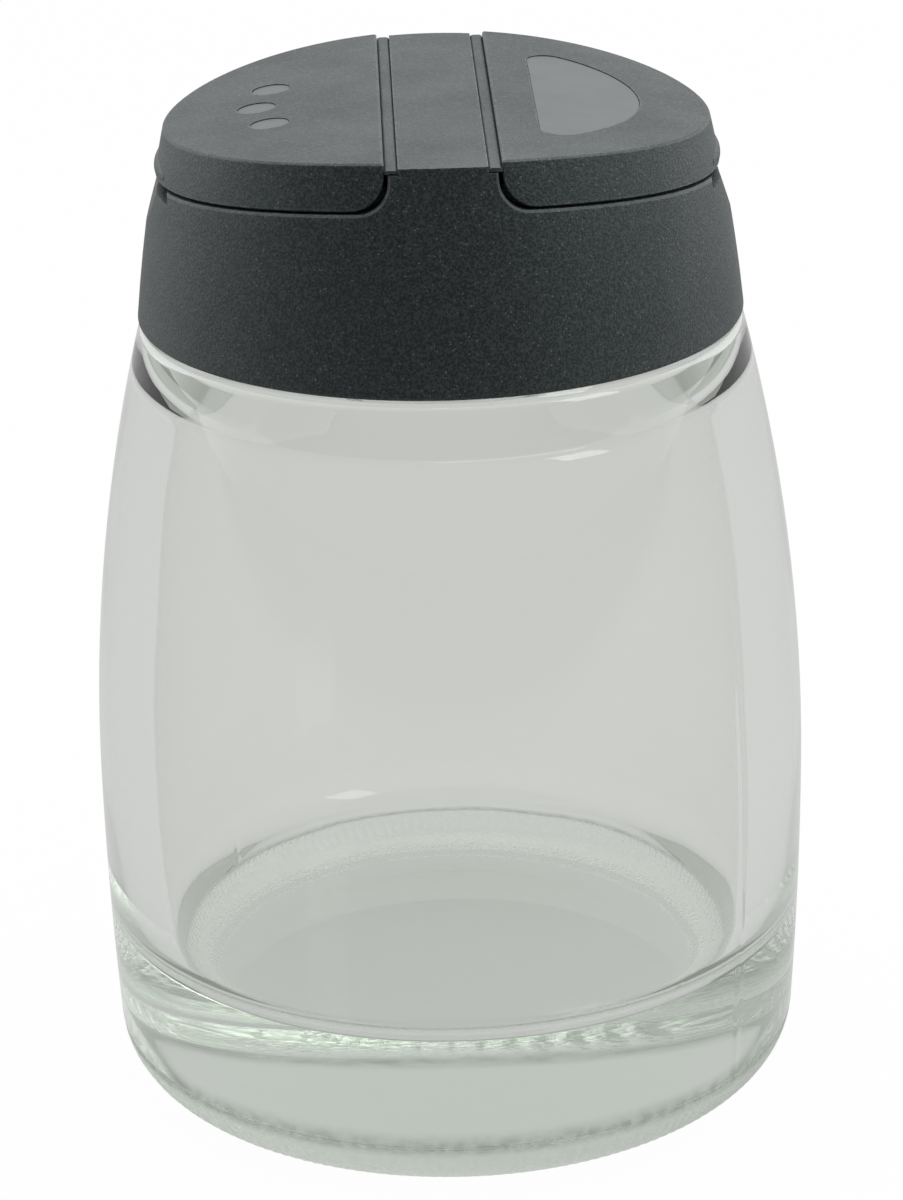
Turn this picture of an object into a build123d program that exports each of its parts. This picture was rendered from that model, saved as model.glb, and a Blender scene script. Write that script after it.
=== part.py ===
from build123d import *
import os
from math import sqrt

# Spice shaker: a thick round glass jar under a moulded screw lid with two hinged flaps.
# The origin is on the table at the jar's axis, +Z up, with a thumb tab at each end of X.
# The sprinkle flap is on the -X side and the pour flap is on the +X side.

os.makedirs("parts", exist_ok=True)

# Glass jar: heights from the table, radii from the axis
foot_radius = 28.2
foot_ring_width = 2.6
push_up = 1.2
heel_radius = 34.3
heel_height = 6.0
belly_radius = 35.1
belly_height = 32.0
shoulder_radius = 29.05
shoulder_height = 78.5
shoulder_rounding = 1.0
glass_wall = 5.4
base_thickness = 14.6
floor_rounding = 4.0
throat_drop = 7.0
throat_rounding = 3.0
neck_radius = 22.8
neck_bore_radius = 19.4
neck_height = 14.1
neck_root_rounding = 0.7
rim_rounding = 0.8

# Sealing ring on the rim
seal_thickness = 1.2
seal_width = 2.4

# Lid: outer form
seat_gap = 0.4
lid_base_radius = 29.2
lid_top_radius = 25.6
lid_side_bulge = 0.35
lid_height = 21.1
dome_radius = 144.0

# Lid: walls and clearances
skirt_wall = 1.5
thread_depth = 0.9
thread_clearance = 0.3
thread_wall = 1.2
thread_wall_inset = 3.5
skirt_gap_height = 11.6
rib_count = 12
rib_thickness = 1.0
deck_thickness = 1.4
deck_drop = 2.4
lid_lip_rounding = 0.3

# Centre strip and living hinges
strip_half_width = 4.05
strip_drop = 0.4
strip_wall = 1.3
web_width = 1.25
web_thickness = 0.35
web_drop = 0.2
web_end_inset = 0.1
web_clearance = 0.1

# Flaps
flap_inset = 0.2
flap_plate = 1.2
flap_wall = 1.15
flap_depth = 4.2
flap_gap = 0.35
ledge_gap = 0.2
flap_corner_radius = 3.4
pocket_corner_radius = 3.0
flap_edge_rounding = 0.5
flap_lip_chamfer = 0.15
flap_hinge_chamfer = 0.15
ledge_chamfer = 0.2

# Thumb tabs and the scoops under them
tab_axis_reach = 5.0
tab_height = 2.3
tab_proud = 0.2
tab_sink = 0.1
tab_drop = 0.6
tab_thickness = 0.4
scoop_height = 4.0
scoop_depth = 0.6

# Openings in the deck and the stoppers that close them
sprinkle_hole_radius = 1.6
sprinkle_pitch = 5.4
sprinkle_outer_row = 15.0
sprinkle_inner_row = 10.3
sprinkle_outer_count = 4
sprinkle_inner_count = 3
stud_clearance = 0.3
stud_reach = 0.4
pour_radius = 18.2
pour_edge = 8.6
pour_rounding = 2.0
plug_clearance = 0.25
plug_wall = 0.9
plug_reach = 0.5

# Light marks let into the flaps
mark_depth = 0.45
mark_sunk = 0.08
mark_clearance = 0.05
dot_radius = 1.85
dot_near_reach = 15.7
dot_far_reach = 17.0
dot_spacing = 6.4
moon_radius = 19.3
moon_edge = 9.2
moon_rounding = 2.0

# Heights that follow from the sizes above
rim_height = shoulder_height + neck_height
deck_seat_height = rim_height + seal_thickness
lid_base = shoulder_height + seat_gap
lid_top = lid_base + lid_height
deck_top = lid_top - deck_drop
strip_top = lid_top - strip_drop
web_top = strip_top - web_drop
web_bottom = web_top - web_thickness
flap_bottom = lid_top - flap_depth
ledge_top = flap_bottom - ledge_gap
flap_roof = lid_top - flap_plate
plate_middle = lid_top - flap_plate / 2
mark_floor = lid_top - mark_depth
mark_face = lid_top - mark_sunk
flap_edge = strip_half_width + web_width
pocket_edge = flap_edge - flap_gap
flap_inside_inset = flap_inset + flap_wall
drum_inset = flap_inside_inset + flap_gap
neck_space_radius = neck_radius + thread_depth + thread_clearance
thread_wall_radius = neck_space_radius + thread_wall
thread_wall_bottom = lid_base + thread_wall_inset
skirt_gap_top = lid_base + skirt_gap_height
core_radius = (neck_bore_radius + neck_radius - seal_width) / 2
reach = lid_base_radius + skirt_wall

# The lid's side is one arc, and every wall inside it is parallel to that arc
side_run = lid_base_radius - lid_top_radius
side_chord = sqrt(side_run**2 + lid_height**2)
side_arc_radius = (side_chord**2 / 4 + lid_side_bulge**2) / (2 * lid_side_bulge)
side_centre_reach = side_arc_radius - lid_side_bulge
side_centre_radius = (lid_base_radius + lid_top_radius) / 2 - side_centre_reach * lid_height / side_chord
side_centre_height = (lid_base + lid_top) / 2 - side_centre_reach * side_run / side_chord

# The jar's side above the belly is one arc, and its inside is parallel to it
jar_side_run = belly_radius - shoulder_radius
jar_side_rise = shoulder_height - belly_height
jar_arc_radius = (jar_side_rise**2 + jar_side_run**2) / (2 * jar_side_run)


def jar_inside_radius(height):
    """Radius of the jar's inner wall at a height above the belly."""
    rise = height - belly_height
    return belly_radius - jar_arc_radius + sqrt((jar_arc_radius - glass_wall) ** 2 - rise**2)


def lid_radius(height, inset=0.0):
    """Radius of the lid's side at a height, or of a wall that lies inset inside it."""
    rise = height - side_centre_height
    return side_centre_radius + sqrt((side_arc_radius - inset) ** 2 - rise**2)


def dome_height(apex, across):
    """Height of a surface that falls to both sides like the lid's top."""
    return apex - dome_radius + sqrt(dome_radius**2 - across**2)


def corner(across, height):
    """The corner of the sketch in hand that lies nearest a place."""
    return vertices().sort_by_distance((across, height))[0]


def dome_arc(apex, start, end):
    """Arc of the lid's crown between two distances from its middle."""
    middle = (start + end) / 2
    points = [(x, dome_height(apex, x)) for x in (start, middle, end)]
    return ThreePointArc(*points)


def lid_form(inset, low, high):
    """Solid round body inside the lid's side, between two heights, its seam at the back."""
    with BuildPart() as form:
        with BuildSketch(Plane.YZ):
            with BuildLine():
                middle = (low + high) / 2
                points = [(lid_radius(z, inset), z) for z in (low, middle, high)]
                side = ThreePointArc(*points)
                Polyline(side @ 0, (0, low), (0, high), side @ 1)
            make_face()
        revolve(axis=Axis.Z)
    return form.part


def crown_layer(low_apex, high_apex):
    """Slab between two surfaces that fall like the lid's top."""
    with BuildPart() as layer:
        with BuildSketch(Plane.XZ):
            with BuildLine():
                low = dome_arc(low_apex, -reach, reach)
                high = dome_arc(high_apex, -reach, reach)
                Line(low @ 0, high @ 0)
                Line(low @ 1, high @ 1)
            make_face()
        extrude(amount=reach, both=True)
    return layer.part


def between_crowns(outline, low_apex, high_apex):
    """Upright prism on an outline, trimmed to lie between two crowned surfaces."""
    layer = crown_layer(low_apex, high_apex)
    with BuildPart() as prism:
        extrude(outline, amount=lid_top + lid_height)
        add(layer, mode=Mode.INTERSECT)
    return prism.part


def half_moon(radius, edge, rounding):
    """Circle about the lid's axis, cut off by a straight edge, with rounded corners."""
    Circle(radius)
    with Locations((edge, 0)):
        Rectangle(radius, 2 * radius, align=(Align.MIN, Align.CENTER), mode=Mode.INTERSECT)
    fillet(vertices(), rounding)


def sprinkle_circles(radius):
    """Two staggered rows of circles on the sprinkle side."""
    with Locations((-sprinkle_outer_row, 0)):
        with GridLocations(1, sprinkle_pitch, 1, sprinkle_outer_count):
            Circle(radius)
    with Locations((-sprinkle_inner_row, 0)):
        with GridLocations(1, sprinkle_pitch, 1, sprinkle_inner_count):
            Circle(radius)


def dot_circles(radius):
    """Three circles, the middle one standing a little further out."""
    with Locations((-dot_near_reach, dot_spacing), (-dot_far_reach, 0), (-dot_near_reach, -dot_spacing)):
        Circle(radius)


# Glass jar: one revolved profile with a heavy base, a swelling side and a screw neck
with BuildPart() as glass_jar:
    with BuildSketch(Plane.XZ):
        with BuildLine():
            throat_height = shoulder_height - throat_drop
            foot_inner = foot_radius - foot_ring_width
            inside_belly = (belly_radius - glass_wall, belly_height)
            inside_heel = (heel_radius - glass_wall, base_thickness)
            underside = TangentArc((0, push_up), (foot_inner, 0), tangent=(1, 0))
            Line((foot_inner, 0), (foot_radius, 0))
            lower_side = TangentArc((belly_radius, belly_height), (heel_radius, heel_height), tangent=(0, -1))
            TangentArc(lower_side @ 1, (foot_radius, 0), tangent=lower_side % 1)
            TangentArc((belly_radius, belly_height), (shoulder_radius, shoulder_height), tangent=(0, 1))
            Polyline(
                (shoulder_radius, shoulder_height),
                (neck_radius, shoulder_height),
                (neck_radius, rim_height),
                (neck_bore_radius, rim_height),
                (neck_bore_radius, shoulder_height),
                (jar_inside_radius(throat_height), throat_height),
            )
            TangentArc(inside_belly, (jar_inside_radius(throat_height), throat_height), tangent=(0, 1))
            TangentArc(inside_belly, inside_heel, tangent=(0, -1))
            Polyline(inside_heel, (0, base_thickness), underside @ 0)
        make_face()
        fillet(corner(shoulder_radius, shoulder_height), shoulder_rounding)
        fillet(corner(neck_radius, shoulder_height), neck_root_rounding)
        fillet([corner(neck_radius, rim_height), corner(neck_bore_radius, rim_height)], rim_rounding)
        fillet(corner(neck_bore_radius, shoulder_height), throat_rounding)
        fillet(corner(jar_inside_radius(throat_height), throat_height), throat_rounding)
        fillet(corner(*inside_heel), floor_rounding)
    revolve(axis=Axis.Z)

glass_jar.part.label = "glass_jar"
export_step(glass_jar.part, "parts/glass_jar.step")

# Sealing ring: a flat soft ring punched from sheet, held between the glass rim and the deck
with BuildPart() as sealing_ring:
    with BuildSketch(Plane.XZ):
        with Locations(((neck_bore_radius + neck_radius) / 2, rim_height)):
            Rectangle(seal_width, seal_thickness, align=(Align.CENTER, Align.MIN))
    revolve(axis=Axis.Z)

sealing_ring.part.label = "sealing_ring"
export_step(sealing_ring.part, "parts/sealing_ring.step")

# Forms that the lid's pieces share
lid_outside = lid_form(0.0, lid_base, lid_top)
flap_outside = lid_form(flap_inset, lid_base, lid_top)
flap_inside = lid_form(flap_inside_inset, lid_base, lid_top)
drum_outside = lid_form(drum_inset, rim_height, lid_top)
skirt_middle = lid_form(skirt_wall / 2, lid_base, lid_top)
skirt_gap = lid_form(skirt_wall, lid_base, skirt_gap_top)
web_outside = lid_form(flap_inset + web_end_inset, lid_base, lid_top)
deck_crown = crown_layer(lid_base, deck_top)
core_crown = crown_layer(rim_height, deck_top - deck_thickness)
flap_crown = crown_layer(lid_base, flap_roof)

# Heights and reaches of the scoop under a thumb tab, worked out from the flap's lower edge
skirt_end = dome_height(flap_bottom, lid_radius(flap_bottom, flap_inset))
tab_bottom = skirt_end - tab_drop
tab_top = tab_bottom + tab_height
tab_middle = (tab_bottom + tab_top) / 2
tab_inner = lid_radius(tab_bottom, drum_inset) + flap_gap
scoop_step = tab_bottom - flap_gap
scoop_foot = scoop_step - scoop_height
scoop_wall = tab_inner - flap_gap

# Deck: the raised drum under the flaps, with its crowned top
with BuildPart() as deck_drum:
    add(drum_outside)
    add(deck_crown, mode=Mode.INTERSECT)

# Deck core: the space above the jar's mouth, inside the seal's seat
with BuildPart() as deck_core:
    Cylinder(core_radius, lid_top, align=(Align.CENTER, Align.CENTER, Align.MIN))
    add(core_crown, mode=Mode.INTERSECT)

# Ribs that tie the skirt to the threaded wall
with BuildPart() as skirt_ribs:
    with BuildSketch(Plane.XY.offset(thread_wall_bottom)):
        with PolarLocations((neck_space_radius + lid_base_radius) / 2, rib_count):
            Rectangle(lid_base_radius - neck_space_radius, rib_thickness)
    extrude(amount=skirt_gap_top - thread_wall_bottom)
    add(skirt_middle, mode=Mode.INTERSECT)

# Holes through the deck
with BuildSketch() as sprinkle_holes:
    sprinkle_circles(sprinkle_hole_radius)

with BuildSketch() as pour_hole:
    half_moon(pour_radius, pour_edge, pour_rounding)

# Lid shell: skirt, ledge, centre strip, deck and the inner threaded wall in one moulding
with BuildPart() as cap_shell:
    # Outline from the front, with a step on each side where a flap sits
    with BuildSketch(Plane.XZ):
        with BuildLine():
            ledge = dome_arc(ledge_top, pocket_edge, reach)
            crest = dome_arc(strip_top, 0, strip_half_width)
            web_seat = web_bottom - web_clearance
            Polyline(crest @ 0, (0, lid_base), (reach, lid_base), ledge @ 1)
            Polyline(ledge @ 0, (pocket_edge, web_seat), (strip_half_width, web_seat), crest @ 1)
        make_face()
        fillet(corner(pocket_edge, dome_height(ledge_top, pocket_edge)), pocket_corner_radius)
        mirror(about=Plane.YZ)
    extrude(amount=reach, both=True)
    add(lid_outside, mode=Mode.INTERSECT)

    # Small bevel on the outer edge of the ledge and of the walls above it
    curves = cap_shell.edges().filter_by(GeomType.LINE, reverse=True)
    chamfer([edge for edge in curves if abs(edge.center().X) > pocket_edge - flap_gap / 2], ledge_chamfer)

    # Flat scoops that let a thumb under the tabs
    with BuildSketch(Plane.XZ):
        with BuildLine():
            Polyline(
                (scoop_wall, lid_top),
                (scoop_wall, scoop_step),
                (lid_radius(scoop_step) - scoop_depth, scoop_step),
                (lid_radius(scoop_foot), scoop_foot),
                (reach, scoop_foot),
                (reach, lid_top),
                close=True,
            )
        make_face()
        mirror(about=Plane.YZ)
    extrude(amount=reach, both=True, mode=Mode.SUBTRACT)

    # Deck drum, then the hollow between the skirt and the ribbed threaded wall
    add(deck_drum.part)
    add(skirt_gap, mode=Mode.SUBTRACT)
    add(skirt_ribs.part)
    with BuildSketch(Plane.XY.offset(thread_wall_bottom)):
        Circle(thread_wall_radius)
    extrude(amount=skirt_gap_top - thread_wall_bottom)
    with BuildSketch(Plane.XY.offset(lid_base)):
        Circle(neck_space_radius)
    extrude(amount=deck_seat_height - lid_base, mode=Mode.SUBTRACT)
    add(deck_core.part, mode=Mode.SUBTRACT)

    # Hollow inside the centre strip
    with BuildSketch(Plane.XY.offset(rim_height)):
        Circle(core_radius)
        Rectangle(2 * (strip_half_width - strip_wall), 2 * core_radius, mode=Mode.INTERSECT)
    extrude(amount=strip_top - strip_wall - rim_height, mode=Mode.SUBTRACT)

    # Openings in the deck, under the flaps
    extrude(sprinkle_holes.sketch, amount=lid_top, mode=Mode.SUBTRACT)
    extrude(pour_hole.sketch, amount=lid_top, mode=Mode.SUBTRACT)

    lip = cap_shell.edges().filter_by(GeomType.CIRCLE).group_by(Axis.Z)[0].sort_by(SortBy.RADIUS)[-1]
    fillet(lip, lid_lip_rounding)

cap_shell.part.label = "cap_shell"
export_step(cap_shell.part, "parts/cap_shell.step")

# Thumb tab: a swelling under the middle of a flap's skirt that fades out to both sides
tab_axis = Axis((tab_axis_reach, 0, 0), (0, 0, 1))
with BuildPart() as thumb_tab:
    with BuildSketch(Plane.YZ.offset(tab_axis_reach)):
        with BuildLine():
            tab_root = lid_radius(tab_top, flap_inset) - tab_sink
            tab_swell = lid_radius(tab_middle, flap_inset) + tab_proud
            face = ThreePointArc(
                (tab_root - tab_axis_reach, tab_top),
                (tab_swell - tab_axis_reach, tab_middle),
                (tab_inner + tab_thickness - tab_axis_reach, tab_bottom),
            )
            Polyline(face @ 1, (0, tab_bottom), (0, tab_top), face @ 0)
        make_face()
    revolve(axis=tab_axis)
    with Locations((tab_inner, 0, tab_middle)):
        Box(reach, reach, 2 * tab_height, align=(Align.MIN, Align.CENTER, Align.CENTER), mode=Mode.INTERSECT)

# Flap space: the hollow under a flap's plate, inside its skirt
with BuildPart() as flap_space:
    add(flap_inside)
    add(flap_crown, mode=Mode.INTERSECT)

# Flap: a crowned plate with a skirt and a thumb tab, open towards the strip
with BuildPart() as flap_blank:
    with BuildSketch(Plane.XZ):
        with BuildLine():
            crown = dome_arc(lid_top, flap_edge, reach)
            rim = dome_arc(flap_bottom, flap_edge, reach)
            Line(crown @ 0, rim @ 0)
            Line(crown @ 1, rim @ 1)
        make_face()
        fillet(corner(flap_edge, dome_height(flap_bottom, flap_edge)), flap_corner_radius)
    extrude(amount=reach, both=True)
    add(flap_outside, mode=Mode.INTERSECT)
    curves = flap_blank.edges().filter_by(GeomType.LINE, reverse=True)
    chamfer([edge for edge in curves if edge.center().Z < lid_top - flap_plate], flap_lip_chamfer)
    flap_top = flap_blank.faces().sort_by_distance((lid_top_radius / 2, 0, lid_top))[0]
    fillet(flap_top.edges().sort_by(Axis.X)[-1], flap_edge_rounding)
    chamfer(flap_blank.edges().sort_by_distance((flap_edge, 0, lid_top))[0], flap_hinge_chamfer)
    add(flap_space.part, mode=Mode.SUBTRACT)
    add(thumb_tab.part)

# Marks: thin smooth inlays that follow the crown, and the shallow pockets they lie in
with BuildSketch() as dot_outline:
    dot_circles(dot_radius)

with BuildSketch() as moon_outline:
    half_moon(moon_radius, moon_edge, moon_rounding)

with BuildSketch() as dot_inlay:
    dot_circles(dot_radius - mark_clearance)

with BuildSketch() as moon_inlay:
    add(moon_outline.sketch)
    offset(amount=-mark_clearance)

dot_pockets = between_crowns(dot_outline.sketch, mark_floor, lid_top + mark_depth)
moon_pocket = between_crowns(moon_outline.sketch, mark_floor, lid_top + mark_depth)

with BuildPart() as sprinkle_marks:
    add(between_crowns(dot_inlay.sketch, mark_floor, mark_face))

sprinkle_marks.part.label = "sprinkle_marks"
export_step(sprinkle_marks.part, "parts/sprinkle_marks.step")

with BuildPart() as pour_mark:
    add(between_crowns(moon_inlay.sketch, mark_floor, mark_face))

pour_mark.part.label = "pour_mark"
export_step(pour_mark.part, "parts/pour_mark.step")

# Stoppers: studs that dip into the sprinkle holes and a rib that dips into the pour opening
with BuildSketch() as stud_outline:
    sprinkle_circles(sprinkle_hole_radius - stud_clearance)

with BuildSketch() as plug_outline:
    add(pour_hole.sketch)
    offset(amount=-plug_clearance)
    offset(amount=-plug_wall, mode=Mode.SUBTRACT)

studs = between_crowns(stud_outline.sketch, deck_top - stud_reach, plate_middle)
plug = between_crowns(plug_outline.sketch, deck_top - plug_reach, plate_middle)

with BuildPart() as sprinkle_flap:
    mirror(flap_blank.part, about=Plane.YZ)
    add(studs)
    add(dot_pockets, mode=Mode.SUBTRACT)

sprinkle_flap.part.label = "sprinkle_flap"
export_step(sprinkle_flap.part, "parts/sprinkle_flap.step")

with BuildPart() as pour_flap:
    add(flap_blank.part)
    add(plug)
    add(moon_pocket, mode=Mode.SUBTRACT)

pour_flap.part.label = "pour_flap"
export_step(pour_flap.part, "parts/pour_flap.step")

# Living hinges: the thin webs on which the flaps bend, between the strip and each flap
with BuildPart() as pour_hinge_web:
    with BuildSketch(Plane.XZ):
        with Locations((strip_half_width, web_bottom)):
            Rectangle(web_width, web_thickness, align=(Align.MIN, Align.MIN))
    extrude(amount=reach, both=True)
    add(web_outside, mode=Mode.INTERSECT)

pour_hinge_web.part.label = "pour_hinge_web"
export_step(pour_hinge_web.part, "parts/pour_hinge_web.step")

with BuildPart() as sprinkle_hinge_web:
    mirror(pour_hinge_web.part, about=Plane.YZ)

sprinkle_hinge_web.part.label = "sprinkle_hinge_web"
export_step(sprinkle_hinge_web.part, "parts/sprinkle_hinge_web.step")
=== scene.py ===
from math import atan2, cos, radians, sin, sqrt, tan, tau

import bpy
import numpy as np
from mathutils import Matrix, Vector


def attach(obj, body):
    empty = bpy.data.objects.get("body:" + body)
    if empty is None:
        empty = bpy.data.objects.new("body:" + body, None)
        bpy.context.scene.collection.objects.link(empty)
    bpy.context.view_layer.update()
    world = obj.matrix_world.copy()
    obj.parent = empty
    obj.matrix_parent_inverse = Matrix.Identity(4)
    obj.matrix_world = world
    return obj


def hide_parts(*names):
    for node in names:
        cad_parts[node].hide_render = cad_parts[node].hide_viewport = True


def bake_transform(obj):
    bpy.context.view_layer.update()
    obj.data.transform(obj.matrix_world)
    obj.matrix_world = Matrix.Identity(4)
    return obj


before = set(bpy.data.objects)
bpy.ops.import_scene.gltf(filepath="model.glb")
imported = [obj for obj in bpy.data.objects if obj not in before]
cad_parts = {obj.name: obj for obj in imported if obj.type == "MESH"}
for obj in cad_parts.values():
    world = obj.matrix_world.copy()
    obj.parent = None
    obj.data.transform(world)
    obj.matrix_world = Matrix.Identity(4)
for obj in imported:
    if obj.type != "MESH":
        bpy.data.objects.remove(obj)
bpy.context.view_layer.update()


# The moulded lid: one polypropylene moulding with a spark-eroded grain on every outer face.
# The shell, both flaps and the thin webs share it. It is nearly black, matt, and a little
# smoother where fingers rub its edges, which are painted paler as a highlight and as wear;
# scattered grain facets are painted pale as glints.
mm = 0.001
plastic_ior = 1.49
lid_black = (0.0035, 0.0048, 0.005, 1.0)
lid_rubbed = (0.044, 0.052, 0.052, 1.0)
lid_painted_glint = (0.11, 0.12, 0.12, 1.0)
lid_worn_edge_highlight = (0.13, 0.142, 0.142, 1.0)
lid_sheen = (0.86, 1.0, 1.0, 1.0)
lid_grain_size = 0.24 * mm
lid_grain_depth = 0.04 * mm
lid_grain_bump = 0.75
lid_painted_glint_share = 0.2
lid_mottle_share = 0.55
lid_edge_reach = 0.35 * mm
lid_edge_breaks = 1400.0
lid_worn_edge_highlight_share = 0.5
lid_edge_polish = 0.1
lid_cloud_scale = 70.0
lid_cloud_share = 0.08
lid_matt = 0.56
lid_smooth = 0.47


def put(tree, kind, inputs=None, **settings):
    """Adds a node, gives it its settings, and sets or joins its inputs by name or number."""
    node = tree.nodes.new(kind)
    for name, value in settings.items():
        setattr(node, name, value)
    for name, value in (inputs or {}).items():
        if isinstance(value, bpy.types.NodeSocket):
            tree.links.new(value, node.inputs[name])
        else:
            node.inputs[name].default_value = value
    return node


def calc(tree, operation, *terms):
    """One step of arithmetic on numbers or fields."""
    return put(tree, "ShaderNodeMath", dict(enumerate(terms)), operation=operation).outputs[0]


def ramp(tree, value, low, high, start=0.0, end=1.0):
    """A value that eases from start to end while another one goes from low to high."""
    terms = {0: value, 1: low, 2: high, 3: start, 4: end}
    return put(tree, "ShaderNodeMapRange", terms, interpolation_type="SMOOTHSTEP").outputs[0]


def tint(tree, share, first, second):
    """A colour that lies between two others."""
    terms = {0: share, 6: first, 7: second}
    return put(tree, "ShaderNodeMix", terms, data_type="RGBA").outputs[2]


def effect(name, inputs, outputs):
    """An empty shader node group with named inputs and outputs, and its two ends."""
    group = bpy.data.node_groups.new(name, "ShaderNodeTree")
    for label, value in inputs.items():
        group.interface.new_socket(label, in_out="INPUT", socket_type="NodeSocketFloat").default_value = value
    for label in outputs:
        group.interface.new_socket(label, in_out="OUTPUT", socket_type="NodeSocketFloat")
    return group, put(group, "NodeGroupInput").outputs, put(group, "NodeGroupOutput").inputs


def new_material(name):
    """An empty material, its tree, and its output node."""
    material = bpy.data.materials.new(name)
    material.use_nodes = True
    material.node_tree.nodes.clear()
    return material, material.node_tree, put(material.node_tree, "ShaderNodeOutputMaterial")


def use_effect(tree, group, **values):
    """Places an effect in a material with the material's own values."""
    node = put(tree, "ShaderNodeGroup", node_tree=group)
    for name, value in values.items():
        node.inputs[name.replace("_", " ")].default_value = value
    return node.outputs


def eroded_grain():
    """Fine pits and rises of an eroded mould face, and a mask of a few scattered facets where the lid paints
    glints.
    """
    group, given, made = effect("eroded grain", {"Size": 0.0002, "Glints": 0.1}, ["Height", "Glint"])
    place = put(group, "ShaderNodeTexCoord").outputs["Object"]
    scale = calc(group, "DIVIDE", 1.0, given["Size"])
    coarse_terms = {"Vector": place, "Scale": scale, "Detail": 3.0, "Roughness": 0.65}
    coarse = put(group, "ShaderNodeTexNoise", coarse_terms).outputs[0]
    cells = put(group, "ShaderNodeTexVoronoi", {"Vector": place, "Scale": scale, "Randomness": 1.0})
    pits = calc(group, "MULTIPLY", cells.outputs["Distance"], 0.6)
    group.links.new(calc(group, "ADD", coarse, pits), made["Height"])
    pick = put(group, "ShaderNodeSeparateColor", {0: cells.outputs["Color"]}).outputs[0]
    rare = calc(group, "SUBTRACT", 1.0, given["Glints"])
    lit = ramp(group, pick, rare, 1.0)
    core = ramp(group, cells.outputs["Distance"], 0.5, 0.15)
    group.links.new(calc(group, "MULTIPLY", lit, core), made["Glint"])
    return group


def edge_wear():
    """A mask of the outward edges, broken up by noise."""
    group, given, made = effect("edge wear", {"Reach": 0.0003, "Breaks": 900.0}, ["Worn"])
    soft = put(group, "ShaderNodeBevel", {"Radius": given["Reach"]}, samples=4).outputs[0]
    sharp = put(group, "ShaderNodeNewGeometry").outputs["Normal"]
    facing = put(group, "ShaderNodeVectorMath", {0: soft, 1: sharp}, operation="DOT_PRODUCT").outputs["Value"]
    edge = ramp(group, facing, 0.995, 0.86)
    place = put(group, "ShaderNodeTexCoord").outputs["Object"]
    patches = put(group, "ShaderNodeTexNoise", {"Vector": place, "Scale": given["Breaks"], "Detail": 4.0})
    group.links.new(calc(group, "MULTIPLY", edge, ramp(group, patches.outputs[0], 0.35, 0.65)), made["Worn"])
    return group


grain = eroded_grain()
wear = edge_wear()


def lid_plastic():
    """Black polypropylene with an eroded grain, faint handling marks, rubbed edges painted paler as a
    highlight, and painted glints.
    """
    material, tree, out = new_material("lid plastic")
    place = put(tree, "ShaderNodeTexCoord").outputs["Object"]
    eroded = use_effect(tree, grain, Size=lid_grain_size, Glints=lid_painted_glint_share)
    worn = use_effect(tree, wear, Reach=lid_edge_reach, Breaks=lid_edge_breaks)["Worn"]
    cloud_terms = {"Vector": place, "Scale": lid_cloud_scale, "Detail": 5.0, "Roughness": 0.6}
    cloud = put(tree, "ShaderNodeTexNoise", cloud_terms).outputs[0]
    handled = calc(tree, "MULTIPLY", ramp(tree, cloud, 0.35, 0.7), lid_cloud_share)
    mottle = ramp(tree, eroded["Height"], 0.68, 0.96, 0.0, lid_mottle_share)
    colour = tint(tree, calc(tree, "ADD", handled, mottle), lid_black, lid_rubbed)
    # Painted highlight along the edges, partly rubbed wear: the edge mask paints them paler
    colour = tint(tree, calc(tree, "MULTIPLY", worn, lid_worn_edge_highlight_share), colour, lid_worn_edge_highlight)
    # Painted glints: a few scattered grain facets are painted pale
    colour = tint(tree, eroded["Glint"], colour, lid_painted_glint)
    rough = ramp(tree, cloud, 0.3, 0.75, lid_matt, lid_smooth)
    rough = calc(tree, "SUBTRACT", rough, calc(tree, "MULTIPLY", worn, lid_edge_polish))
    relief = {"Height": eroded["Height"], "Strength": lid_grain_bump, "Distance": lid_grain_depth}
    bump = put(tree, "ShaderNodeBump", relief)
    plastic = put(
        tree,
        "ShaderNodeBsdfPrincipled",
        {
            "Base Color": colour,
            "Roughness": rough,
            "IOR": plastic_ior,
            "Specular Tint": lid_sheen,
            "Normal": bump.outputs[0],
        },
    )
    tree.links.new(plastic.outputs[0], out.inputs["Surface"])
    return material


lid_finish = lid_plastic()
for piece in ("cap_shell", "sprinkle_flap", "pour_flap"):
    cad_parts[piece].data.materials.clear()
    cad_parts[piece].data.materials.append(lid_finish)


# The light marks: three dots and a half moon moulded in light grey and let into the flaps.
# They are smooth, level with the grain around them, and tell the two sides apart.
mark_grey = (0.062, 0.067, 0.067, 1.0)
mark_pale = (0.085, 0.091, 0.091, 1.0)
mark_grain_size = 0.16 * mm
mark_grain_depth = 0.008 * mm
mark_grain_bump = 0.25
mark_glint_share = 0.02
mark_edge_reach = 0.2 * mm
mark_edge_breaks = 2000.0
mark_edge_share = 0.5
mark_cloud_scale = 220.0
mark_cloud_share = 0.15
mark_smooth = 0.45
mark_matt = 0.49


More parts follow.
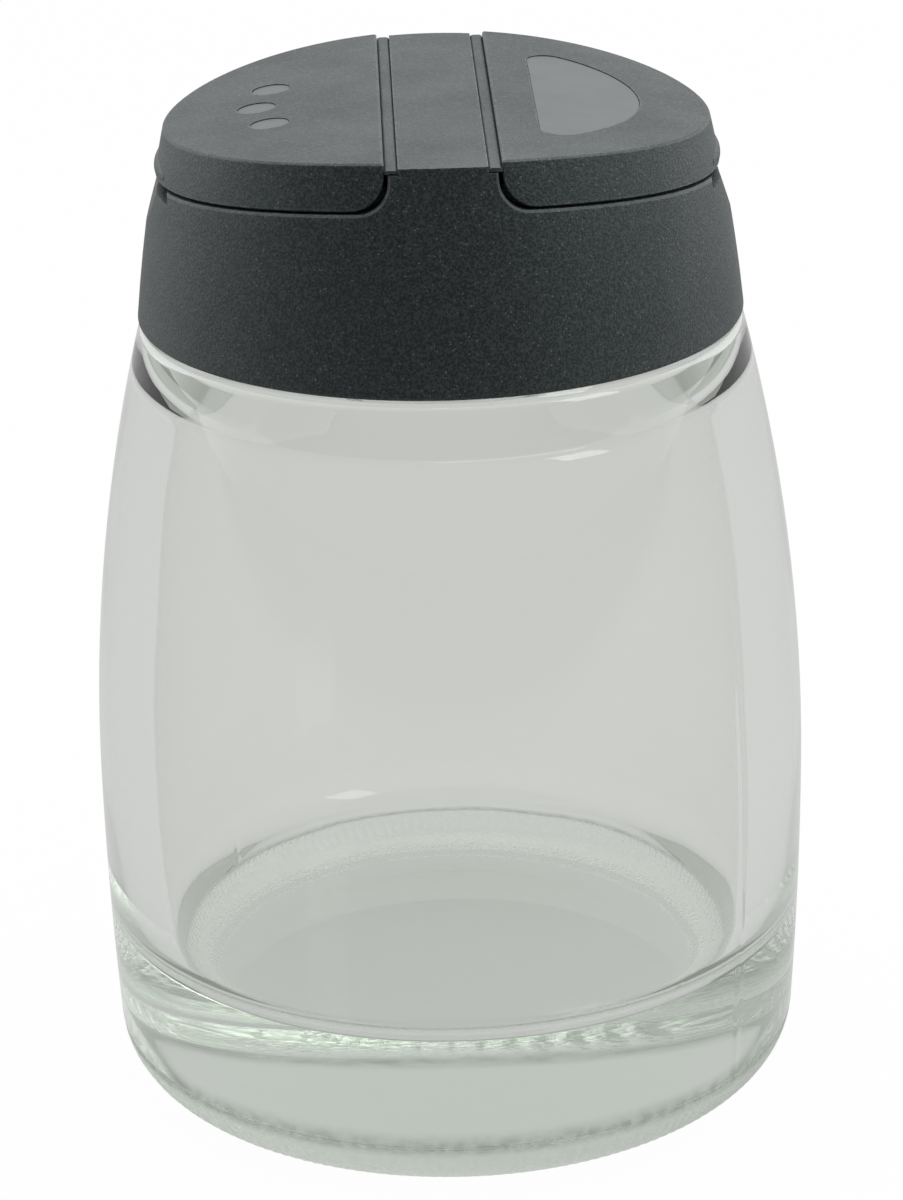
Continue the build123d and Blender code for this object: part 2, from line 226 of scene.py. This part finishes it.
def mark_plastic():
    """Smooth grey plastic, a little paler and duller in patches and at its edges."""
    material, tree, out = new_material("mark plastic")
    place = put(tree, "ShaderNodeTexCoord").outputs["Object"]
    fine = use_effect(tree, grain, Size=mark_grain_size, Glints=mark_glint_share)
    worn = use_effect(tree, wear, Reach=mark_edge_reach, Breaks=mark_edge_breaks)["Worn"]
    cloud_terms = {"Vector": place, "Scale": mark_cloud_scale, "Detail": 4.0}
    cloud = put(tree, "ShaderNodeTexNoise", cloud_terms).outputs[0]
    patches = calc(tree, "MULTIPLY", cloud, mark_cloud_share)
    edges = calc(tree, "MULTIPLY", worn, mark_edge_share)
    colour = tint(tree, calc(tree, "ADD", patches, edges), mark_grey, mark_pale)
    rough = ramp(tree, cloud, 0.3, 0.7, mark_smooth, mark_matt)
    relief = {"Height": fine["Height"], "Strength": mark_grain_bump, "Distance": mark_grain_depth}
    bump = put(tree, "ShaderNodeBump", relief)
    plastic = put(
        tree,
        "ShaderNodeBsdfPrincipled",
        {
            "Base Color": colour,
            "Roughness": rough,
            "IOR": plastic_ior,
            "Specular Tint": lid_sheen,
            "Normal": bump.outputs[0],
        },
    )
    tree.links.new(plastic.outputs[0], out.inputs["Surface"])
    return material


mark_finish = mark_plastic()
for piece in ("sprinkle_marks", "pour_mark"):
    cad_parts[piece].data.materials.clear()
    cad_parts[piece].data.materials.append(mark_finish)


# The living hinges: thin webs of the same moulding between the strip and each flap.
# They are moulded flat, with both long edges eased down, and reach from the strip's edge
# to the flap's edge.
web_near = 4.05 * mm
web_far = 5.3 * mm
web_top = 99.4 * mm
web_bottom = 99.05 * mm
web_half_length = 25.3 * mm
web_edge_dip = 0.18 * mm
web_dip_power = 5
web_steps_across = 14
web_steps_along = 60


def living_hinge(name, side):
    """A thin closed sheet between the strip and one flap, fine enough across to bend."""
    across = np.linspace(web_near, web_far, web_steps_across + 1)
    along = np.linspace(-web_half_length, web_half_length, web_steps_along + 1)
    dips = web_edge_dip * np.abs(np.linspace(-1, 1, web_steps_across + 1)) ** web_dip_power
    lower = [(side * x, y, web_bottom) for x in across for y in along]
    upper = [(side * x, y, web_top - dip) for x, dip in zip(across, dips) for y in along]
    points = lower + upper
    wide, deep = web_steps_along + 1, web_steps_across + 1

    def spot(layer, i, j):
        return (layer * deep + i) * wide + j

    faces = []
    for i in range(web_steps_across):
        for j in range(web_steps_along):
            faces.append((spot(0, i, j), spot(0, i, j + 1), spot(0, i + 1, j + 1), spot(0, i + 1, j)))
            faces.append((spot(1, i, j), spot(1, i + 1, j), spot(1, i + 1, j + 1), spot(1, i, j + 1)))
    for j in range(web_steps_along):
        faces.append((spot(0, 0, j), spot(1, 0, j), spot(1, 0, j + 1), spot(0, 0, j + 1)))
        last = web_steps_across
        faces.append((spot(0, last, j), spot(0, last, j + 1), spot(1, last, j + 1), spot(1, last, j)))
    for i in range(web_steps_across):
        faces.append((spot(0, i, 0), spot(0, i + 1, 0), spot(1, i + 1, 0), spot(1, i, 0)))
        last = web_steps_along
        faces.append((spot(0, i, last), spot(1, i, last), spot(1, i + 1, last), spot(0, i + 1, last)))
    if side < 0:
        faces = [face[::-1] for face in faces]
    mesh = bpy.data.meshes.new(name)
    mesh.from_pydata(points, [], faces)
    mesh.materials.append(lid_finish)
    web = bpy.data.objects.new(name, mesh)
    bpy.context.scene.collection.objects.link(web)
    return web


for name, node, body, side in (
    ("sprinkle_web", "sprinkle_hinge_web", "sprinkle_side", -1),
    ("pour_web", "pour_hinge_web", "pour_side", 1),
):
    web = living_hinge(name, side)
    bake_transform(web)
    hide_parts(node)


# The glass jar: pressed and blown soda-lime glass with a thick base and a screw neck with a
# three-start thread. Its heel is knurled and frosted up to a fine groove, where the mould's
# body met its bottom plate; a faint seam runs up two sides, and both faces are a little wavy.
jar_columns = 540
jar_seed = 7
thread_starts = 3
thread_ridge_height = 0.9 * mm
thread_ridge_width = 1.5 * mm
thread_lead = 9.0 * mm
thread_low = 85.0 * mm
seam_height = 0.06 * mm
seam_width = 0.45 * mm
seam_turn = radians(-39.0)
seam_low = 45 * mm
seam_high = 60 * mm
knurl_count = 180
knurl_depth = 0.25 * mm
knurl_low = 0.6 * mm
knurl_top = 5.6 * mm
line_height = 5.7 * mm
line_width = 0.6 * mm
line_depth = 0.12 * mm
outer_wave = 0.03 * mm
inner_wave = 0.14 * mm
wave_size = 13.0 * mm
weld_reach = 0.002 * mm

# The jar's half section, in plain millimetres
foot_rise = 1.2
foot_inner_radius = 25.6
foot_radius = 28.2
heel_radius = 34.3
heel_height = 6.0
heel_gather = 1.4
belly_radius = 35.1
belly_height = 32.0
shoulder_radius = 29.05
shoulder_height = 78.5
shoulder_rounding = 1.0
neck_radius = 22.8
neck_rounding = 0.7
rim_height = 92.6
rim_rounding = 0.8
bore_radius = 19.4
bore_rounding = 3.0
throat_height = 71.5
glass_wall = 5.4
floor_height = 14.6
floor_rounding = 4.0

# The glass itself
glass_ior = 1.5
glass_clear = (0.965, 0.972, 0.955, 1.0)
glass_groove_shade = (0.33, 0.36, 0.32, 1.0)
glass_shadow = (0.76, 0.77, 0.75, 1.0)
glass_unbent = (0.578, 0.593, 0.5625, 1.0)
glass_body = (0.8, 0.86, 0.8, 1.0)
glass_density = 18.0
most_bends = 3.5
haze_scale = 45.0
haze_most = 0.035
ripple_scale = 160.0
ripple_share = 0.06
speck_scale = 900.0
frost_roughness = 0.4
frost_full = 0.92 * knurl_top
frost_inner_radius = 25.0 * mm
frost_outer_radius = 25.8 * mm
stipple_size = 0.55 * mm
stipple_depth = 0.08 * mm
band_low = 4.2 * mm
band_high = 7.7 * mm


def tangent_arc(start, heading, end, count, gather=1.0):
    """Points of the arc that leaves start along heading and reaches end, gathered at its start."""
    chord = np.subtract(end, start)
    turn = 2 * atan2(heading[0] * chord[1] - heading[1] * chord[0], np.dot(heading, chord))
    half = turn / 2 * np.linspace(0, 1, count) ** gather
    reach = np.hypot(*chord) * np.sin(half) / sin(turn / 2)
    x = start[0] + reach * (heading[0] * np.cos(half) - heading[1] * np.sin(half))
    z = start[1] + reach * (heading[0] * np.sin(half) + heading[1] * np.cos(half))
    return np.column_stack([x, z])


def straight(start, end, count):
    """Evenly spaced points on a line."""
    return np.linspace(start, end, count)


def walk(chain, length):
    """The place at a length along a chain of points, and the heading there."""
    steps = np.hypot(*np.diff(chain, axis=0).T)
    gone = np.concatenate([[0], np.cumsum(steps)])
    i = min(np.searchsorted(gone, length, side="right") - 1, len(steps) - 1)
    heading = (chain[i + 1] - chain[i]) / steps[i]
    return chain[i] + heading * (length - gone[i]), heading, gone


def round_between(first, second, radius, count):
    """Cuts two chains back from the corner where they meet and joins them by a round one."""
    _, out_heading, back_gone = walk(first[::-1], 0.0)
    _, in_heading, ahead_gone = walk(second, 0.0)
    opening = abs(atan2(np.cross(-out_heading, in_heading), np.dot(-out_heading, in_heading)))
    cut = radius * tan(opening / 2)
    a, a_heading, _ = walk(first[::-1], cut)
    b, b_heading, _ = walk(second, cut)
    turn = abs(atan2(np.cross(-a_heading, b_heading), np.dot(-a_heading, b_heading)))
    arm = np.hypot(*(b - a)) / 2 / cos(turn / 4) ** 2 * (2 / 3)
    t = np.linspace(0, 1, count)[:, None]
    c, d = a - a_heading * arm, b - b_heading * arm
    bend = (1 - t) ** 3 * a + 3 * (1 - t) ** 2 * t * c + 3 * (1 - t) * t**2 * d + t**3 * b
    kept_first = first[: len(first) - np.searchsorted(back_gone, cut * 1.02, side="right")]
    kept_second = second[np.searchsorted(ahead_gone, cut * 1.02, side="right") :]
    return kept_first, bend, kept_second


def jar_profile():
    """The jar's half section, from under the base's middle up the outside and down the inside."""
    lean = 2 * atan2(belly_radius - heel_radius, belly_height - heel_height)
    side_rise, side_inset = shoulder_height - belly_height, belly_radius - shoulder_radius
    side_radius = (side_rise**2 + side_inset**2) / (2 * side_inset)
    inner_reach = sqrt((side_radius - glass_wall) ** 2 - (throat_height - belly_height) ** 2)
    foot_inner, foot = (foot_inner_radius, 0), (foot_radius, 0)
    heel, belly = (heel_radius, heel_height), (belly_radius, belly_height)
    shoulder, neck_foot = (shoulder_radius, shoulder_height), (neck_radius, shoulder_height)
    rim_outer, rim_inner = (neck_radius, rim_height), (bore_radius, rim_height)
    bore = (bore_radius, shoulder_height)
    throat = (belly_radius - side_radius + inner_reach, throat_height)
    inner_belly = (belly_radius - glass_wall, belly_height)
    floor_edge = (heel_radius - glass_wall, floor_height)
    chains = [
        (tangent_arc((0, foot_rise), (1, 0), foot_inner, 7), 0, "under"),
        (straight(foot_inner, foot, 3), 0, "ring"),
        (tangent_arc(heel, (-sin(lean), -cos(lean)), foot, 25, heel_gather)[::-1], 0, "heel"),
        (tangent_arc(belly, (0, -1), heel, 9)[::-1], 0, "side"),
        (tangent_arc(belly, (0, 1), shoulder, 17), shoulder_rounding, "side"),
        (straight(shoulder, neck_foot, 4), neck_rounding, "shoulder"),
        (straight(neck_foot, rim_outer, 36), rim_rounding, "neck"),
        (straight(rim_outer, rim_inner, 4), rim_rounding, "rim"),
        (straight(rim_inner, bore, 4), bore_rounding, "bore"),
        (straight(bore, throat, 4), bore_rounding, "inside"),
        (tangent_arc(inner_belly, (0, 1), throat, 13)[::-1], 0, "inside"),
        (tangent_arc(inner_belly, (0, -1), floor_edge, 7), floor_rounding, "inside"),
        (straight(floor_edge, (0, floor_height), 5), 0, "floor"),
    ]
    points, zones = [], []
    rest = chains[0][0]
    for i, (_, radius, name) in enumerate(chains):
        if i + 1 == len(chains):
            points.extend(rest)
            zones.extend([name] * len(rest))
            break
        following = chains[i + 1][0]
        if radius:
            bend_points = 7 if radius < 2 else 11
            rest, bend, following = round_between(rest, following, radius, bend_points)
            points.extend(rest)
            points.extend(bend)
            zones.extend([name] * (len(rest) + len(bend)))
        else:
            points.extend(rest[:-1])
            zones.extend([name] * (len(rest) - 1))
        rest = following
    return np.array(points) * mm, zones


def jar_tree(rows, finish):
    """Turns the half section round the axis and adds thread, seam, waves, knurl and groove."""
    tree = bpy.data.node_groups.new("turned jar", "GeometryNodeTree")
    tree.interface.new_socket("Geometry", in_out="INPUT", socket_type="NodeSocketGeometry")
    for label, value in (
        ("Columns", jar_columns),
        ("Knurl Count", knurl_count),
        ("Seed", jar_seed),
    ):
        tree.interface.new_socket(label, in_out="INPUT", socket_type="NodeSocketInt").default_value = value
    for label, value in (
        ("Ridge Height", thread_ridge_height),
        ("Ridge Width", thread_ridge_width),
        ("Lead", thread_lead),
        ("Thread Low", thread_low),
        ("Seam Height", seam_height),
        ("Seam Width", seam_width),
        ("Seam Turn", seam_turn),
        ("Knurl Depth", knurl_depth),
        ("Wave Size", wave_size),
    ):
        tree.interface.new_socket(label, in_out="INPUT", socket_type="NodeSocketFloat").default_value = value
    tree.interface.new_socket("Geometry", in_out="OUTPUT", socket_type="NodeSocketGeometry")
    given = put(tree, "NodeGroupInput").outputs
    section = given["Geometry"]
    size = {"Vertices X": calc(tree, "ADD", given["Columns"], 1), "Vertices Y": rows}
    sheet = put(tree, "GeometryNodeMeshGrid", size).outputs["Mesh"]
    index = put(tree, "GeometryNodeInputIndex").outputs[0]
    row = calc(tree, "MODULO", index, rows)
    column = calc(tree, "DIVIDE", calc(tree, "SUBTRACT", index, row), float(rows))
    angle = calc(tree, "DIVIDE", calc(tree, "MULTIPLY", column, tau), given["Columns"])

    def read(kind, value):
        """A value of the half section at this point's row."""
        asked = {"Geometry": section, "Value": value, "Index": row}
        return put(tree, "GeometryNodeSampleIndex", asked, data_type=kind, domain="POINT").outputs[0]

    def mask(name):
        """One of the half section's named strengths at this point's row."""
        named = put(tree, "GeometryNodeInputNamedAttribute", {"Name": name}, data_type="FLOAT").outputs[0]
        return read("FLOAT", named)

    place = read("FLOAT_VECTOR", put(tree, "GeometryNodeInputPosition").outputs[0])
    apart = put(tree, "ShaderNodeSeparateXYZ", {0: place}).outputs
    radius, height = apart[0], apart[2]

    # Thread: one ridge in each third of a turn, rising along the lead
    share = calc(tree, "FRACT", calc(tree, "MULTIPLY", angle, thread_starts / tau))
    rise = calc(tree, "MULTIPLY", calc(tree, "DIVIDE", given["Lead"], float(thread_starts)), share)
    middle = calc(tree, "ADD", given["Thread Low"], rise)
    off = calc(tree, "ABSOLUTE", calc(tree, "SUBTRACT", height, middle))
    foot = calc(tree, "DIVIDE", given["Ridge Width"], 2.0)
    ridge = ramp(tree, calc(tree, "DIVIDE", off, foot), 1.0, 0.35)
    ends = calc(tree, "MULTIPLY", ramp(tree, share, 0.02, 0.08), ramp(tree, share, 0.97, 0.9))
    ridge = calc(tree, "MULTIPLY", calc(tree, "MULTIPLY", ridge, ends), given["Ridge Height"])
    push = calc(tree, "MULTIPLY", ridge, mask("neck"))

    # Seam: a hairline ridge on two opposite sides
    from_seam = calc(tree, "SINE", calc(tree, "SUBTRACT", angle, given["Seam Turn"]))
    aside = calc(tree, "MULTIPLY", radius, from_seam)
    near = calc(tree, "DIVIDE", calc(tree, "ABSOLUTE", aside), given["Seam Width"])
    line = calc(tree, "MULTIPLY", ramp(tree, near, 1.0, 0.0), given["Seam Height"])
    push = calc(tree, "ADD", push, calc(tree, "MULTIPLY", line, mask("seam")))

    # Waves: blown glass is never quite even
    round_place = put(
        tree,
        "ShaderNodeCombineXYZ",
        {
            0: calc(tree, "MULTIPLY", radius, calc(tree, "COSINE", angle)),
            1: calc(tree, "MULTIPLY", radius, calc(tree, "SINE", angle)),
            2: height,
        },
    ).outputs[0]
    noise = put(
        tree,
        "ShaderNodeTexNoise",
        {
            "Vector": round_place,
            "W": given["Seed"],
            "Scale": calc(tree, "DIVIDE", 1.0, given["Wave Size"]),
            "Detail": 1.5,
        },
        noise_dimensions="4D",
    ).outputs[0]
    swing = calc(tree, "SUBTRACT", noise, 0.5)
    push = calc(tree, "ADD", push, calc(tree, "MULTIPLY", swing, mask("wave")))

    # Knurl: short upright grooves round the heel
    beat = calc(tree, "COSINE", calc(tree, "MULTIPLY", angle, given["Knurl Count"]))
    half_depth = calc(tree, "DIVIDE", given["Knurl Depth"], 2.0)
    groove = calc(tree, "MULTIPLY", calc(tree, "SUBTRACT", 1.0, beat), half_depth)
    lift = calc(tree, "MULTIPLY", groove, mask("knurl up"))
    push = calc(tree, "SUBTRACT", push, calc(tree, "MULTIPLY", groove, mask("knurl in")))

    # Mould line: the fine groove near the top of the heel
    push = calc(tree, "SUBTRACT", push, mask("mould line"))

    out_radius = calc(tree, "ADD", radius, push)
    target = put(
        tree,
        "ShaderNodeCombineXYZ",
        {
            0: calc(tree, "MULTIPLY", out_radius, calc(tree, "COSINE", angle)),
            1: calc(tree, "MULTIPLY", out_radius, calc(tree, "SINE", angle)),
            2: calc(tree, "ADD", height, lift),
        },
    ).outputs[0]
    turned = put(tree, "GeometryNodeSetPosition", {"Geometry": sheet, "Position": target}).outputs[0]
    weld = {"Geometry": turned, "Distance": weld_reach}
    closed = put(tree, "GeometryNodeMergeByDistance", weld).outputs[0]
    smooth = put(tree, "GeometryNodeSetShadeSmooth", {"Geometry": closed}).outputs[0]
    plain = put(tree, "GeometryNodeRealizeInstances", {"Geometry": smooth}).outputs[0]
    dressed = put(tree, "GeometryNodeSetMaterial", {"Geometry": plain, "Material": finish}).outputs[0]
    put(tree, "NodeGroupOutput", {"Geometry": dressed})
    return tree


def grow(name, tree, host):
    """Runs a tree on a host mesh and keeps what comes out as a plain mesh."""
    piece = bpy.data.objects.new(name, host)
    bpy.context.scene.collection.objects.link(piece)
    piece.modifiers.new("grow", "NODES").node_group = tree
    settled = piece.evaluated_get(bpy.context.evaluated_depsgraph_get())
    mesh = bpy.data.meshes.new_from_object(settled)
    piece.modifiers.clear()
    piece.data = mesh
    mesh.name = name
    return piece


def clear_glass():
    """Clear glass with a faint green body, fine ripples, a frosted heel and painted shade along the mould
    line.
    """
    material, tree, out = new_material("jar glass")
    place = put(tree, "ShaderNodeTexCoord").outputs["Object"]
    apart = put(tree, "ShaderNodeSeparateXYZ", {0: place}).outputs
    across, along, height = apart[0], apart[1], apart[2]
    squares = calc(tree, "ADD", calc(tree, "POWER", across, 2.0), calc(tree, "POWER", along, 2.0))
    outside = ramp(tree, calc(tree, "SQRT", squares), frost_inner_radius, frost_outer_radius)
    heel = calc(tree, "MULTIPLY", ramp(tree, height, knurl_top, frost_full), outside)

    # Shine: a touch of haze all over, and frost on the heel
    haze_terms = {"Vector": place, "Scale": haze_scale, "Detail": 5.0, "Roughness": 0.6}
    smear = put(tree, "ShaderNodeTexNoise", haze_terms).outputs[0]
    haze = ramp(tree, smear, 0.45, 0.8, 0.0, haze_most)
    rough = calc(tree, "MAXIMUM", haze, calc(tree, "MULTIPLY", heel, frost_roughness))

    # Colour: painted shade, a broken dark band along the mould line
    below = ramp(tree, height, band_low, line_height)
    band = calc(tree, "MULTIPLY", below, ramp(tree, height, band_high, line_height))
    speck_terms = {"Vector": place, "Scale": speck_scale, "Detail": 3.0}
    specks = put(tree, "ShaderNodeTexNoise", speck_terms).outputs[0]
    groove_shade = calc(tree, "MULTIPLY", band, ramp(tree, specks, 0.3, 0.7, 0.55, 1.0))

    # Relief: ripples all over, and stipple on the heel
    ripple_terms = {"Vector": place, "Scale": ripple_scale, "Detail": 2.0}
    ripple = put(tree, "ShaderNodeTexNoise", ripple_terms).outputs[0]
    dot_terms = {"Vector": place, "Scale": 1 / stipple_size}
    dots = put(tree, "ShaderNodeTexVoronoi", dot_terms).outputs["Distance"]
    ripples = calc(tree, "MULTIPLY", ripple, ripple_share)
    relief = calc(tree, "ADD", ripples, calc(tree, "MULTIPLY", dots, heel))
    bump = put(tree, "ShaderNodeBump", {"Height": relief, "Strength": 1.0, "Distance": stipple_depth})

    glass = put(
        tree,
        "ShaderNodeBsdfPrincipled",
        {
            "Base Color": tint(tree, groove_shade, glass_clear, glass_groove_shade),
            "Roughness": rough,
            "IOR": glass_ior,
            "Transmission Weight": 1.0,
            "Normal": bump.outputs[0],
        },
    )

    # Light that was bent several times goes straight on, and the light of lamps passes through
    unbent = put(
        tree,
        "ShaderNodeBsdfPrincipled",
        {"Base Color": glass_unbent, "Roughness": 0.0, "IOR": 1.0, "Transmission Weight": 1.0},
    )
    rays = put(tree, "ShaderNodeLightPath").outputs
    often_bent = calc(tree, "GREATER_THAN", rays["Ray Depth"], most_bends)
    seen_terms = {0: often_bent, 1: glass.outputs[0], 2: unbent.outputs[0]}
    seen = put(tree, "ShaderNodeMixShader", seen_terms).outputs[0]
    passed = put(tree, "ShaderNodeBsdfTransparent", {"Color": glass_shadow}).outputs[0]
    both = put(tree, "ShaderNodeMixShader", {0: rays["Is Shadow Ray"], 1: seen, 2: passed})
    tree.links.new(both.outputs[0], out.inputs["Surface"])
    body = put(tree, "ShaderNodeVolumeAbsorption", {"Color": glass_body, "Density": glass_density})
    tree.links.new(body.outputs[0], out.inputs["Volume"])
    return material


def glass_jar():
    """The jar, turned from its half section."""
    points, zones = jar_profile()
    heights = points[:, 1]
    host = bpy.data.meshes.new("jar half section")
    edges = [(i, i + 1) for i in range(len(points) - 1)]
    host.from_pydata([(x, 0, z) for x, z in points], edges, [])
    slope = np.gradient(points, axis=0)
    slope /= np.maximum(np.hypot(*slope.T), 1e-12)[:, None]
    on_heel = np.array([zone == "heel" for zone in zones])
    on_body = np.array([zone in ("heel", "side") for zone in zones])
    knurl_heights = [knurl_low, 2 * knurl_low, 0.5 * knurl_top, knurl_top]
    knurl = np.interp(heights, knurl_heights, [0, 1, 1, 0]) * on_heel
    off_line = np.abs(heights - line_height) / (line_width / 2)
    waves = {"side": outer_wave, "heel": outer_wave, "inside": inner_wave}
    strengths = {
        "knurl in": slope[:, 1] * knurl,
        "knurl up": slope[:, 0] * knurl,
        "mould line": np.interp(off_line, [0, 1], [line_depth, 0]) * on_heel,
        "seam": np.interp(heights, [seam_low, seam_high], [1, 0]) * on_body,
        "neck": [float(zone == "neck") for zone in zones],
        "wave": [waves.get(zone, 0.0) for zone in zones],
    }
    for name, values in strengths.items():
        held = host.attributes.new(name, "FLOAT", "POINT").data
        held.foreach_set("value", np.array(values, np.float32))
    return grow("clear_jar", jar_tree(len(points), clear_glass()), host)


jar = glass_jar()
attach(jar, "jar")
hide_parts("glass_jar")


# The sealing ring: soft white closed-cell foam that lies on the glass rim under the deck.
# It is punched from sheet, has fine pores and is a little darker along its cut edges.
foam_white = (0.62, 0.62, 0.6, 1.0)
foam_shade = (0.5, 0.5, 0.48, 1.0)
foam_pore_size = 0.3 * mm
foam_pore_depth = 0.03 * mm
foam_pore_bump = 0.4
foam_pore_share = 0.2
foam_edge_reach = 0.15 * mm
foam_edge_breaks = 1500.0
foam_edge_share = 0.4
foam_smooth = 0.75
foam_matt = 0.9


def seal_foam():
    """Closed-cell foam with fine pores."""
    material, tree, out = new_material("seal foam")
    pores = use_effect(tree, grain, Size=foam_pore_size, Glints=foam_pore_share)
    worn = use_effect(tree, wear, Reach=foam_edge_reach, Breaks=foam_edge_breaks)["Worn"]
    colour = tint(tree, pores["Glint"], foam_white, foam_shade)
    colour = tint(tree, calc(tree, "MULTIPLY", worn, foam_edge_share), colour, foam_shade)
    rough = ramp(tree, pores["Height"], 0.3, 1.0, foam_smooth, foam_matt)
    relief = {"Height": pores["Height"], "Strength": foam_pore_bump, "Distance": foam_pore_depth}
    bump = put(tree, "ShaderNodeBump", relief)
    look = {"Base Color": colour, "Roughness": rough, "Normal": bump.outputs[0]}
    foam = put(tree, "ShaderNodeBsdfPrincipled", look)
    tree.links.new(foam.outputs[0], out.inputs["Surface"])
    return material


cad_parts["sealing_ring"].data.materials.clear()
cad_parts["sealing_ring"].data.materials.append(seal_foam())


# The studio: a wide pale floor under a soft sky that is brightest above, behind and at the
# far sides, two soft boxes, and a long-lensed camera that looks a little down on the front.
camera_place = Vector((0.389, -382.61, 197.21)) * mm
camera_pitch = 0.3709
camera_roll = -0.0232
camera_turn = -0.0212
camera_lens = 164.99
floor_half_width = 4.0
floor_seen_white = 0.975
floor_bounced_white = 0.8
floor_bounced_glow = 0.65
floor_grey_near = 0.1
floor_grey_gain = 0.45
sky_front = 0.08
sky_back = 1.35
sky_flank = 1.5
sky_height_share = 0.8
sky_through_glass = 0.69
lamp_aim = (0, 0, 0.06)


def studio_camera():
    """The camera, at the angle and distance from which the shaker was photographed."""
    ahead = Vector((0, cos(camera_pitch), -sin(camera_pitch)))
    right = Vector((1, 0, 0))
    up = right.cross(ahead)
    rolled_right = right * cos(camera_roll) + up * sin(camera_roll)
    rolled_up = up * cos(camera_roll) - right * sin(camera_roll)
    axes = Matrix((rolled_right, rolled_up, -ahead)).transposed()
    data = bpy.data.cameras.new("camera")
    data.sensor_fit = "HORIZONTAL"
    data.sensor_width = 36
    data.lens = camera_lens
    data.clip_start = 0.01
    data.clip_end = 50
    camera = bpy.data.objects.new("camera", data)
    bpy.context.scene.collection.objects.link(camera)
    turned = Matrix.Rotation(camera_turn, 4, "Z")
    camera.matrix_world = turned @ Matrix.Translation(camera_place) @ axes.to_4x4()
    bpy.context.scene.camera = camera


def pale_floor():
    """A wide matt floor, grey in front, that the camera sees as white with the shadow kept."""
    material, tree, out = new_material("pale floor")
    rays = put(tree, "ShaderNodeLightPath").outputs
    place = put(tree, "ShaderNodeTexCoord").outputs["Object"]
    behind = put(tree, "ShaderNodeSeparateXYZ", {0: place}).outputs[1]
    paper = ramp(tree, behind, -0.4, -0.1)
    mirrored = calc(tree, "MULTIPLY", rays["Is Glossy Ray"], paper)
    bounced = calc(tree, "MAXIMUM", mirrored, rays["Is Transmission Ray"])
    bounced = calc(tree, "MULTIPLY", bounced, floor_bounced_white)
    direct = calc(tree, "MULTIPLY", rays["Is Camera Ray"], floor_seen_white)
    glow = ramp(tree, rays["Is Camera Ray"], 0.0, 1.0, floor_bounced_glow, 1.0)
    grey = calc(tree, "ADD", floor_grey_near, calc(tree, "MULTIPLY", paper, floor_grey_gain))
    colour = put(tree, "ShaderNodeCombineColor", {0: grey, 1: grey, 2: grey}).outputs[0]
    matt = put(tree, "ShaderNodeBsdfDiffuse", {"Color": colour}).outputs[0]
    white_terms = {"Color": (1.0, 1.0, 1.0, 1.0), "Strength": glow}
    white = put(tree, "ShaderNodeEmission", white_terms).outputs[0]
    share = calc(tree, "MAXIMUM", direct, bounced)
    both = put(tree, "ShaderNodeMixShader", {0: share, 1: matt, 2: white})
    tree.links.new(both.outputs[0], out.inputs["Surface"])
    mesh = bpy.data.meshes.new("floor")
    corners = [(-1, -1), (1, -1), (1, 1), (-1, 1)]
    points = [(floor_half_width * x, floor_half_width * y, 0) for x, y in corners]
    mesh.from_pydata(points, [], [(0, 1, 2, 3)])
    mesh.materials.append(material)
    floor = bpy.data.objects.new("studio_floor", mesh)
    bpy.context.scene.collection.objects.link(floor)


def soft_sky():
    """Light from above, behind and the far sides, weak in front, so that the lid's front stays dark."""
    world = bpy.data.worlds.new("soft sky")
    bpy.context.scene.world = world
    world.use_nodes = True
    tree = world.node_tree
    tree.nodes.clear()
    place = put(tree, "ShaderNodeTexCoord").outputs["Generated"]
    way = put(tree, "ShaderNodeSeparateXYZ", {0: place}).outputs
    height = calc(tree, "MULTIPLY", way[2], sky_height_share)
    back = ramp(tree, calc(tree, "ADD", way[1], height), -0.5, 0.5, sky_front, sky_back)
    flank = ramp(tree, calc(tree, "ABSOLUTE", way[0]), 0.45, 0.9, 0.0, sky_flank)
    flank = calc(tree, "MULTIPLY", flank, ramp(tree, way[1], -0.3, 0.5))
    level = calc(tree, "ADD", back, flank)
    rays = put(tree, "ShaderNodeLightPath").outputs
    glass_terms = {0: rays["Is Transmission Ray"], 2: level, 3: sky_through_glass}
    level = put(tree, "ShaderNodeMix", glass_terms).outputs[0]
    level = put(tree, "ShaderNodeMix", {0: rays["Is Camera Ray"], 2: level, 3: 1.0}).outputs[0]
    sky = put(tree, "ShaderNodeBackground", {"Color": (1.0, 1.0, 1.0, 1.0), "Strength": level})
    tree.links.new(sky.outputs[0], put(tree, "ShaderNodeOutputWorld").inputs["Surface"])


def soft_box(name, place, aim, wide, high, power):
    """A soft rectangular lamp that points at the shaker."""
    data = bpy.data.lights.new(name, "AREA")
    data.shape = "RECTANGLE"
    data.size = wide
    data.size_y = high
    data.energy = power
    lamp = bpy.data.objects.new(name, data)
    bpy.context.scene.collection.objects.link(lamp)
    lamp.location = place
    lamp.rotation_euler = (Vector(aim) - Vector(place)).to_track_quat("-Z", "Y").to_euler()


studio_camera()
pale_floor()
soft_sky()
soft_box("overhead box", (0.08, 0.05, 0.78), lamp_aim, 0.5, 0.5, 1.8)
soft_box("side box", (0.55, -0.35, 0.45), lamp_aim, 0.25, 0.4, 1.3)
bpy.context.scene.view_settings.view_transform = "Standard"
